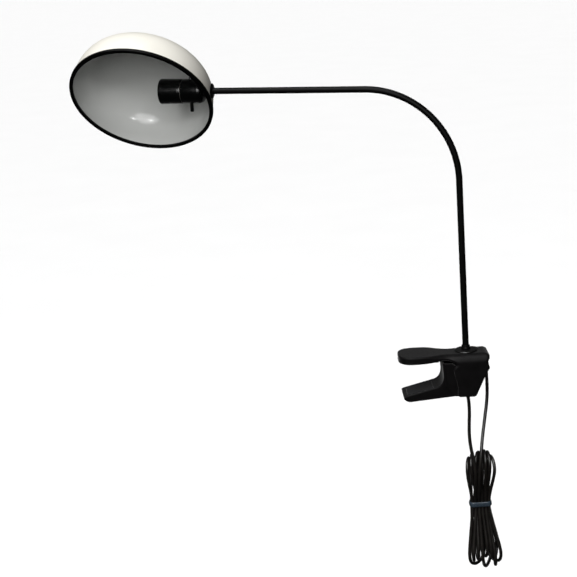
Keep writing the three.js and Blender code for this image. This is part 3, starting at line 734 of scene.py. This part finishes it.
def clamp_distance(x, y, z):
    edge = 0.0019 + 0.0109 * smoothstep(x, 0.005, 0.045) * smoothstep(z, -0.014, -0.004)
    body = both(outline_distance(PLATE_PLAN, x, y), outline_distance(CHEEK_SIDE, x, z), edge)
    body = without(body, both(np.abs(y) - 0.0252, z - 0.0006, 0.003), 0.0006)
    body = without(body, both(outline_distance(PAD_PLAN, x, y), z - 0.0018, 0.0002), 0.0003)
    pin_bore = both(np.hypot(x - PIVOT[0], z - PIVOT[2]) - PIN_BORE, np.abs(y) - 0.027, 0.0002)
    body = without(body, pin_bore, 0.0002)
    from_hook = np.hypot(x - HOOK[0], z - HOOK[1])
    hook = both(np.abs(from_hook - HOOK_RING) - 0.0013, np.abs(y - 0.034) - 0.007, 0.0006)
    lip = both(np.abs(from_hook - HOOK_LIP) - 0.0028, np.abs(y - 0.040) - 0.001, 0.0006)
    hook = either(hook, lip, 0.0008)
    for angle, side in ((math.radians(58), 1), (math.radians(118), -1)):
        beyond = side * (math.sin(angle) * (x - HOOK[0]) - math.cos(angle) * (z - HOOK[1]))
        hook = both(hook, beyond, 0.0006)
    body = either(body, hook, 0.0012)
    return without(body, np.hypot(x - 0.072, y) - 0.00535, 0.0003)


PLATE_PLAN, PAD_PLAN, CHEEK_SIDE = plate_plan(), pad_plan(0.024), cheek_side()
vertices, faces = surface_net(clamp_distance, (-0.036, -0.030, -0.0585), (0.1105, 0.041, 0.0122), 0.0009)
shell = piece("clamp_shell", vertices, faces, CLAMP_PLASTIC, sharp=60)
stand_for(shell, "clamp", "black_plastic", "clamp_body")

inner_pad = pad_plan(0.0237)
vertices, faces = surface_net(
    lambda x, y, z: both(outline_distance(inner_pad, x, y), np.abs(z - 0.00075) - 0.00075, 0.0004),
    (-0.032, -0.024, 0), (0.027, 0.024, 0.0015), 0.0005,
)
stand_for(piece("upper_lining", vertices, faces, RUBBER), "clamp", "black_rubber", "upper_pad")


# ---- lower jaw ----

FACE_START = (-0.028, -0.052)
FACE_SLOPE = math.atan2(0.0118, 0.050)


def jaw_side():
    return np.vstack((
        bezier((-0.0305, -0.0555), (-0.0308, -0.0540), (-0.0302, -0.0527), (-0.028, -0.052), 5),
        [(0.022, -0.0402)],
        bezier((0.022, -0.0402), (0.030, -0.038), (0.0334, -0.030), (0.0332, -0.021))[1:],
        [(0.0318, -0.0016), (0.0346, -0.0016), (0.0362, -0.020)],
        bezier((0.0362, -0.020), (0.0364, -0.030), (0.035, -0.038), (0.043, -0.046))[1:],
        bezier((0.043, -0.046), (0.0463, -0.0509), (0.050, -0.0535), (0.054, -0.0536), 5)[1:],
        [(0.076, -0.0546), (0.0795, -0.0542), (0.081, -0.0516)],
        [(0.0924, -0.0246), (0.0952, -0.0258), (0.0832, -0.0536)],
        bezier((0.0832, -0.0536), (0.082, -0.0562), (0.080, -0.0574), (0.077, -0.0574), 5)[1:],
        [(0.050, -0.0566), (-0.019, -0.0614)],
        bezier((-0.019, -0.0614), (-0.0241, -0.0618), (-0.0279, -0.0598), (-0.0305, -0.0555), 5)[1:-1],
    ))


def on_face(x, z):
    """Distance along the gripping face and out of it."""
    c, s = math.cos(FACE_SLOPE), math.sin(FACE_SLOPE)
    u, v = x - FACE_START[0], z - FACE_START[1]
    return u * c + v * s, v * c - u * s


def lining_plan(inset):
    near, far, half = 0.004 + inset, 0.046 - inset, 0.0203 - inset
    return rounded([(near, -half, 0.005), (far, -half, 0.002), (far, half, 0.002), (near, half, 0.005)])


def jaw_distance(x, y, z):
    jaw = both(outline_distance(JAW_SIDE, x, z), np.abs(y) - 0.0243, 0.0011)
    web = both(outline_distance(JAW_WEB, x, z), np.abs(np.abs(y) - 0.0229) - 0.0014, 0.0005)
    jaw = either(jaw, web, 0.0015)
    jaw = without(jaw, np.hypot(x - PIVOT[0], z - PIVOT[2]) - PIN_BORE, 0.0002)
    under = (x - FACE_START[0]) * 0.236 + FACE_START[1] - 0.0044
    for near, far in ((-0.022, -0.008), (-0.0056, 0.0084), (0.0108, 0.0248)):
        pocket = both(np.abs(x - (near + far) / 2) - (far - near) / 2, np.abs(y) - 0.0215, 0.001)
        jaw = without(jaw, both(pocket, z - under, 0.0008), 0.0004)
    slot = np.hypot(np.maximum(np.abs(x - 0.0687) - 0.0037, 0), y) - 0.0042
    jaw = without(jaw, both(slot, z + 0.050, 0.0002), 0.0005)
    u, w = on_face(x, z)
    return without(jaw, both(outline_distance(LINING, u, y), -0.0012 - w, 0.0002), 0.0003)


JAW_SIDE, LINING = jaw_side(), lining_plan(0)
JAW_WEB = rounded([
    (0.0336, -0.0022, 0), (0.048, -0.0030, 0.008), (0.064, -0.0185, 0.010), (0.0936, -0.0254, 0.002),
    (0.083, -0.052, 0), (0.078, -0.0566, 0), (0.052, -0.056, 0), (0.036, -0.040, 0),
])
vertices, faces = surface_net(jaw_distance, (-0.031, -0.0245, -0.062), (0.0955, 0.0245, -0.0015), 0.0008)
stand_for(piece("jaw_shell", vertices, faces, CLAMP_PLASTIC, sharp=60), "jaw", "black_plastic", "lower_jaw")

inner_lining = lining_plan(0.0003)
vertices, faces = surface_net(
    lambda x, y, z: both(outline_distance(inner_lining, x, y), np.abs(z + 0.0002) - 0.0007, 0.0004),
    (0.004, -0.0203, -0.001), (0.046, 0.0203, 0.001), 0.0005,
)
lining_place = Matrix.Translation((FACE_START[0], 0, FACE_START[1])) @ Matrix.Rotation(-FACE_SLOPE, 4, "Y")
lining = piece("lower_lining", vertices, faces, RUBBER, lining_place)
stand_for(lining, "jaw", "black_rubber", "lower_pad")

pin_place = Matrix.Translation(PIVOT) @ Matrix.Rotation(math.radians(90), 4, "X")
pin = lathe("hinge_pin", [
    (0, -26.6, 0), (2.5, -26.6, 0.5), (2.5, 26.6, 0.5), (0, 26.6, 0),
], STEEL, pin_place, 32)
stand_for(pin, "clamp", "steel", "jaw_pin")


def spring_line():
    """The torsion spring: a leg under the plate, four turns and a bit, a leg on the jaw's tail."""
    coil, sweep = 0.0048, 2 * math.pi * (4 + 98 / 360)
    start = math.radians(142)
    points = []
    for u in np.linspace(0, 1, 150):
        angle = start + sweep * u
        x, z = PIVOT[0] + coil * math.cos(angle), PIVOT[2] + coil * math.sin(angle)
        points.append((x, -0.020 + 0.011 * u, z))
    points = np.array(points)
    back = np.array((math.sin(start), 0, -math.cos(start)))
    on = np.array((-math.sin(start + sweep), 0, math.cos(start + sweep)))
    first = [points[0] + back * 0.031 * t for t in np.linspace(1, 0, 20)[:-1]]
    last = [points[-1] + on * 0.028 * t for t in np.linspace(0, 1, 20)[1:]]
    return np.vstack((first, points, last))


vertices, faces = swept(spring_line(), 0.0009, 12)
spring = piece("spring_wire", vertices, faces, STEEL)
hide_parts("jaw_spring")
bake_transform(spring)


# ---- arm ----

def arm_line(below, beyond, spacing):
    """The arm's centre line from under the plate's top to beyond the shade's wall, in its own frame."""
    bend, angle = 0.144, math.radians(88.3)
    upright = [(0, 0, z) for z in np.linspace(-below, 0.2717, 60)]
    turn = [
        (-bend * (1 - math.cos(a)), 0, 0.2717 + bend * math.sin(a)) for a in np.linspace(0, angle, 80)[1:]
    ]
    end = np.array(turn[-1])
    level = np.array((-math.sin(angle), 0, math.cos(angle)))
    run = [end + s * level for s in np.linspace(0, 0.2436 + beyond, 60)[1:]]
    return spaced(np.vstack((upright, turn, run)), spacing)


vertices, faces = swept(arm_line(0.018, 0.017, 0.004), 0.005, 40, 0.0038)
stand_for(piece("arm", vertices, faces, ARM_PAINT, ARM, 50), "arm", "black_paint", "arm_tube")
vertices, faces = swept(arm_line(0.056, 0.0185, 0.005), 0.0027, 16)
stand_for(piece("cable", vertices, faces, JACKET, ARM, 50), "arm", "cord_jacket", "inner_cable")

collar = lathe("collar", [
    (5.3, 3.6, 0), (7.4, 3.6, 0.4), (7.4, 5, 0.6), (6.6, 7, 0.8), (6.4, 9.6, 0.5), (5.3, 9.6, 0),
], ARM_PAINT, ARM)
stand_for(collar, "arm", "black_paint", "foot_collar")
flange = lathe("flange", [
    (5.3, 0.3, 0), (17.4, 0.3, 0.2), (17.8, 1.2, 0.4), (17.2, 2.4, 0.7),
    (14.6, 3.1, 1.6), (9, 3.3, 0.4), (5.3, 3.3, 0),
], GLOSS_BLACK, Matrix.Translation(ARM_FOOT), 96)
stand_for(flange, "clamp", "black_paint", "foot_flange")

rings = []
for i in range(8):
    z, r = -24.5 - 3.6 * i, 5.9 - 0.24 * i
    rings += [(r, z, 0.3), (r - 0.05, z - 2.2, 0.3), (r - 0.7, z - 2.4, 0), (r - 0.75, z - 3.3, 0)]
guard = lathe("ribbed_guard", [
    (3.0, -18.3, 0), (6.2, -18.3, 0.5), (6.2, -21, 0.8), (5.2, -23, 0), *rings,
    (3.7, -56, 0.3), (3.0, -56, 0),
], RUBBER, ARM, 48)
stand_for(guard, "arm", "black_rubber", "cord_guard")


# ---- lampholder ----

cap = lathe("cap", [
    (5.3, 10.1, 0), (8, 10.1, 0.6), (14, 11.5, 6), (17.6, 14.2, 3), (19, 18.1, 5),
    (19, 46.6, 0.5), (16.9, 46.6, 0.3),
    (16.9, 19.6, 2), (15, 16.7, 1), (9, 16.3, 0), (9, 19.5, 0.4), (5.3, 19.5, 0),
], BAKELITE, None, 96)
cut(cap, ((-0.03, 0, 0.0337), (0.03, 0, 0.0337), 0.0032), ((0, -0.004, 0.0179), (0, -0.03, 0.0179), 0.0019))
cap.data.transform(ALONG)
stand_for(cap, "arm", "black_bakelite", "holder_cap")

skirt = lathe("skirt", [
    (17.9, 50.4, 0), (15.6, 50.4, 0), (15.6, 48.4, 0), (17.3, 47.4, 0),
    (19.1, 47.4, 0.4), (19.3, 48.6, 0.6),
    (19.5, 52, 2), (20, 81.2, 0.9), (19.5, 83, 0.5), (18.2, 83, 0.5), (17.9, 81.8, 0.4),
], BAKELITE, ALONG, 96)
stand_for(skirt, "arm", "black_bakelite", "holder_skirt")
core = lathe("core", [
    (0, 41.4, 0), (14, 41.4, 0.6), (16.4, 43, 0.5), (16.4, 46, 0.3),
    (15.2, 46, 0), (15.2, 50.8, 0), (17.2, 50.8, 0.3),
    (17.2, 56.6, 0.6), (14.2, 56.6, 0.2), (14.2, 55.9, 0.2), (6, 55.9, 0.3), (5.5, 56.6, 0.3), (0, 56.6, 0),
], PORCELAIN, ALONG)
stand_for(core, "arm", "porcelain", "holder_core")


def thread_mesh():
    """The rolled screw shell: a 0.4 mm sleeve with a round thread of 3.6 mm pitch and a flared mouth."""
    start, end, pitch, sides, steps = 0.0574, 0.080, 0.0036, 72, 66
    vertices, faces = [], []
    for depth in (0.0004, 0.0):
        for x in np.linspace(start, end, steps + 1):
            fade = smoothstep(x, start + 0.001, start + 0.004) * smoothstep(x, end - 0.0016, end - 0.005)
            mouth = 0.0007 * smoothstep(x, end - 0.0016, end)
            for j in range(sides):
                turn = 2 * math.pi * j / sides
                wave = 0.0006 * math.sin(2 * math.pi * (x - start) / pitch - turn)
                r = 0.0139 + wave * fade + mouth + depth
                vertices.append((r * math.cos(turn), r * math.sin(turn), x))
    layer = (steps + 1) * sides
    for j in range(sides):
        k = (j + 1) % sides
        for i in range(steps):
            a = i * sides
            faces.append((a + j, a + k, a + sides + k, a + sides + j))
            faces.append((layer + a + j, layer + a + sides + j, layer + a + sides + k, layer + a + k))
        for a in (0, steps * sides):
            faces.append((a + j, layer + a + j, layer + a + k, a + k))
    return vertices, faces


stand_for(piece("thread_shell", *thread_mesh(), BRASS, ALONG, 60), "arm", "brass", "screw_shell")

for letter, side, material, slot in (("a", -1, LEAD_BROWN, "lead_brown"), ("b", 1, LEAD_BLUE, "lead_blue")):
    way = smooth_line([
        (0.019, side * 0.0014, 0), (0.023, side * 0.004, 0),
        (0.0307, side * 0.0086, 0), (0.0372, side * 0.009, 0),
    ], 0.001)
    lead = piece(f"lead_wire_{letter}", *swept(way, 0.0009, 12), material, ARM_END)
    stand_for(lead, "arm", slot, f"lead_{letter}")

bar = lathe("bar", [
    (0, -32.3, 0), (2.9, -32.3, 1.1), (2.9, -9, 0), (4.6, -8, 0.4),
    (4.6, 0, 0.4), (2.9, 1, 0), (2.9, 22, 1.1), (0, 22, 0),
], BAKELITE, ARM_END @ Matrix.Translation((0.0337, 0, 0)), 40)
stand_for(bar, "switch", "black_bakelite", "switch_bar")


# ---- shade ----

def dome(radius, height, low, steps=40):
    """The dome's profile from its rim to its crown, with heights from the arm's axis."""
    points = []
    for t in np.linspace(0, 1, steps + 1):
        z = low + (height - low) * math.sin(math.pi / 2 * t)
        points.append((radius * max(0.0, 1 - (z / height) ** 2.9) ** (1 / 2.9), z - 0.0209))
    return points


outside, inside = dome(0.1132, 0.080, 0.0022), dome(0.1122, 0.079, 0.0022)
vertices, faces = turned([*outside, *inside[::-1]], 144)
shell = piece("dome", vertices, faces, CREAM)
cut(shell, ((-0.14, 0, 0), (-0.09, 0, 0), 0.0055))
shell.data.materials.append(INSIDE)
for face in shell.data.polygons:
    if face.normal.dot(face.center + Vector((0, 0, 0.0209))) < 0:
        face.material_index = 1
shell.data.transform(SHADE)
stand_for(shell, "shade", "cream_paint", "shade_shell")

trim = lathe("trim", [
    (109.6, -20.9, 0.5), (115.65, -20.9, 1.3), (115.65, -15.9, 0.8), (113.5, -15.9, 0), (113.5, -19.1, 0),
    (111.9, -19.1, 0), (111.7, -16.9, 0.3), (109.9, -16.9, 0.6),
], TRIM, SHADE, 144)
stand_for(trim, "shade", "black_rubber", "rim_trim")
washer = lathe("cup_washer", [
    (5.4, -2.8, 0.2), (7.4, -2.8, 0.5), (10.6, -2.2, 1), (11.8, -1.4, 0.3), (11.8, -0.8, 0), (5.4, -0.8, 0),
], ARM_PAINT, ALONG)
stand_for(washer, "shade", "black_paint", "outer_washer")


# ---- plug ----

def plug_distance(x, y, z):
    """The plug's body round its own axis, with grip ribs on its narrow sides."""
    ribbed = smoothstep(z, -0.052, -0.048) * smoothstep(z, -0.030, -0.034)
    ribs = 0.00035 * np.sin(2 * math.pi * z / 0.0032) * ribbed
    side = outline_distance(PLUG_SIDE, x, z) + 0.0004 - ribs * smoothstep(np.abs(x), 0.010, 0.013)
    waist = 0.0009 * np.exp(-((z + 0.036) / 0.008) ** 2)
    return both(side, np.abs(y) - 0.00685 + waist, 0.0042)


PLUG_SIDE = rounded([
    (-0.01765, -0.058, 0.002), (0.01765, -0.058, 0.002), (0.01765, -0.046, 0.008), (0.0085, -0.024, 0.003),
    (-0.0085, -0.024, 0.003), (-0.01765, -0.046, 0.008),
])
plug_place = Matrix.Translation((PLUG[0], PLUG[1], 0))
vertices, faces = surface_net(plug_distance, (-0.0178, -0.0069, -0.0582), (0.0178, 0.0069, -0.0238), 0.0008)
plug = piece("plug", vertices, faces, RUBBER, plug_place)
stand_for(plug, "clamp", "black_rubber", "plug_body")

bent = math.radians(180 - GUARD_ANGLE)
guard_line = [(0, 0, -0.0237), (0, 0, -0.0221)]
guard_line += [
    (LOOP - LOOP * math.cos(a), 0, LOOP_Z + LOOP * math.sin(a)) for a in np.linspace(0, bent - 0.032, 46)
]
guard_line = spaced(np.array(guard_line), 0.0004)
share = np.linspace(0, 1, len(guard_line))
groove = 0.0004 * (np.sin(2 * math.pi * share * 7) > 0.45) * (share > 0.12) * (share < 0.93)
vertices, faces = swept(guard_line, 0.0055 - 0.0018 * share - groove, 32)
relief = piece("plug_relief", vertices, faces, RUBBER, plug_place, 50)
stand_for(relief, "clamp", "black_rubber", "plug_guard")

for letter, side in (("a", -1), ("b", 1)):
    prong = lathe(f"prong_{letter}", [
        (0, -77, 0), (2, -77, 1.2), (2, -68.6, 0), (1.85, -68.4, 0), (1.85, -58.3, 0), (0, -58.3, 0),
    ], STEEL, plug_place @ Matrix.Translation((side * 0.0095, 0, 0)), 32)
    prong.data.materials.append(RUBBER)
    for face in prong.data.polygons:
        face.material_index = int(face.center.z > -0.0685)
    stand_for(prong, "clamp", "steel", f"plug_pin_{letter}")


# ---- small CAD pieces that stay ----

STEEL_NODES = ("swivel_washer", "swivel_nut", "shade_nut", "inner_washer", "neck_screw")
BRASS_NODES = ("centre_contact", "side_contact", "terminal_screw_a", "terminal_screw_b")

for names, material in ((STEEL_NODES, STEEL), (BRASS_NODES, BRASS)):
    for name in names:
        nodes[name].data.materials.clear()
        nodes[name].data.materials.append(material)


# ---- stage ----

FLOOR_REACH = 60.0
FLOOR_HEIGHT = -0.62
WORLD_FRONT = 0.22
WORLD_BACK = 1.32


def make_floor():
    mesh = bpy.data.meshes.new("floor")
    corners = [
        (x * FLOOR_REACH, y * FLOOR_REACH, FLOOR_HEIGHT) for x, y in ((-1, -1), (1, -1), (1, 1), (-1, 1))
    ]
    mesh.from_pydata(corners, [], [(0, 1, 2, 3)])
    floor = bpy.data.objects.new("floor", mesh)
    bpy.context.scene.collection.objects.link(floor)
    surface = Surface("floor", Roughness=0.9, Specular_IOR_Level=0.0)
    pale = surface.blend(surface.noise(3), colour(0.9, 0.9, 0.9), colour(0.93, 0.93, 0.93))
    surface.link(pale, "Base Color")
    mesh.materials.append(surface.material)
    floor.visible_diffuse = False
    floor.visible_glossy = False


def make_world():
    """A studio whose light grows from the front towards the back."""
    world = bpy.data.worlds.new("studio")
    world.use_nodes = True
    tree = world.node_tree
    way = tree.nodes.new("ShaderNodeTexCoord").outputs["Generated"]
    parts = tree.nodes.new("ShaderNodeSeparateXYZ")
    tree.links.new(way, parts.inputs["Vector"])
    sky = tree.nodes.new("ShaderNodeMapRange")
    limits = {"From Min": -0.1, "From Max": 0.9, "To Min": WORLD_FRONT, "To Max": WORLD_BACK}
    for label, value in limits.items():
        sky.inputs[label].default_value = value
    tree.links.new(parts.outputs["Y"], sky.inputs["Value"])
    tree.links.new(sky.outputs["Result"], tree.nodes["Background"].inputs["Strength"])
    bpy.context.scene.world = world


def add_light(name, kind, place, target, size, power, gloss=1.0):
    data = bpy.data.lights.new(name, kind)
    data.energy = power
    data.specular_factor = gloss
    if kind == "SUN":
        data.angle = size
    else:
        data.shape = "DISK"
        data.size = size
    light = bpy.data.objects.new(name, data)
    light.location = place
    light.rotation_euler = (Vector(target) - Vector(place)).to_track_quat("-Z", "Y").to_euler()
    bpy.context.scene.collection.objects.link(light)


LAMP_MIDDLE = (-0.4, 0.1, 0.35)

make_floor()
make_world()
add_light("key", "SUN", (-0.28, -0.33, 0.9), (0, 0, 0), math.radians(50), 3.6)
add_light("front", "AREA", (-0.7, -2.5, 1.25), LAMP_MIDDLE, 1.8, 36, 0.4)
add_light("spot_left", "AREA", (-1.0, -2.5, 1.5), LAMP_MIDDLE, 0.3, 6)
add_light("spot_right", "AREA", (0.4, -2.5, 1.5), LAMP_MIDDLE, 0.3, 6)
